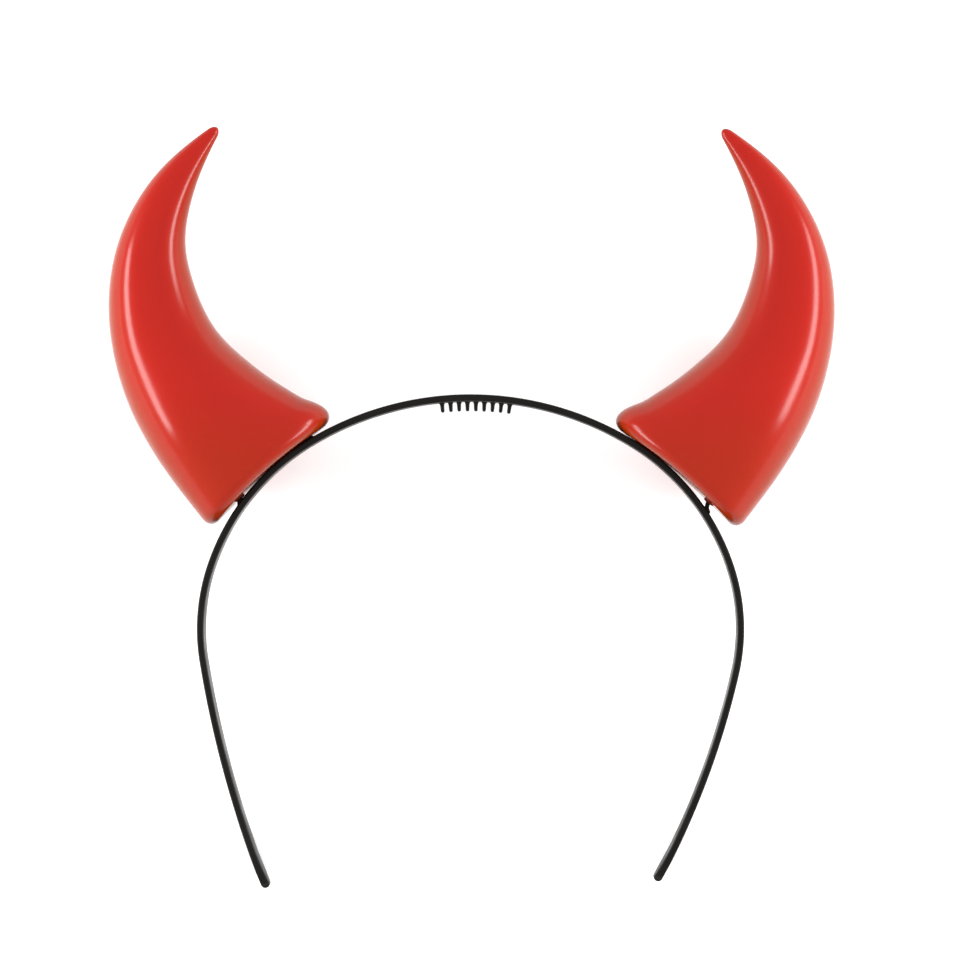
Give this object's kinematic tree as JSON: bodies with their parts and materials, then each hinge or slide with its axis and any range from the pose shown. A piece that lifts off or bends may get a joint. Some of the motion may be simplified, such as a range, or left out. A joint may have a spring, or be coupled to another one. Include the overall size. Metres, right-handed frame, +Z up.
{
  "type": "devil horns headband",
  "caption": "Springy plastic headband with curved hollow horns tabbed onto its crown and a short comb moulded inside the top.",
  "frame": {"origin": "centre of the base of the bounding box, on the surface that the headband lies on", "axes": "+Z up from the surface, +Y from the band's tips towards the horn tips, +X across the head to the side seen on the right"},
  "size_m": [0.1782, 0.1858, 0.0321],
  "materials": {
    "horn_red_plastic": "glossy",
    "band_black_plastic": "satin"
  },
  "bodies": {
    "root": {"headband": "band_black_plastic", "left_horn": "horn_red_plastic", "right_horn": "horn_red_plastic"}
  },
  "joints": []
}
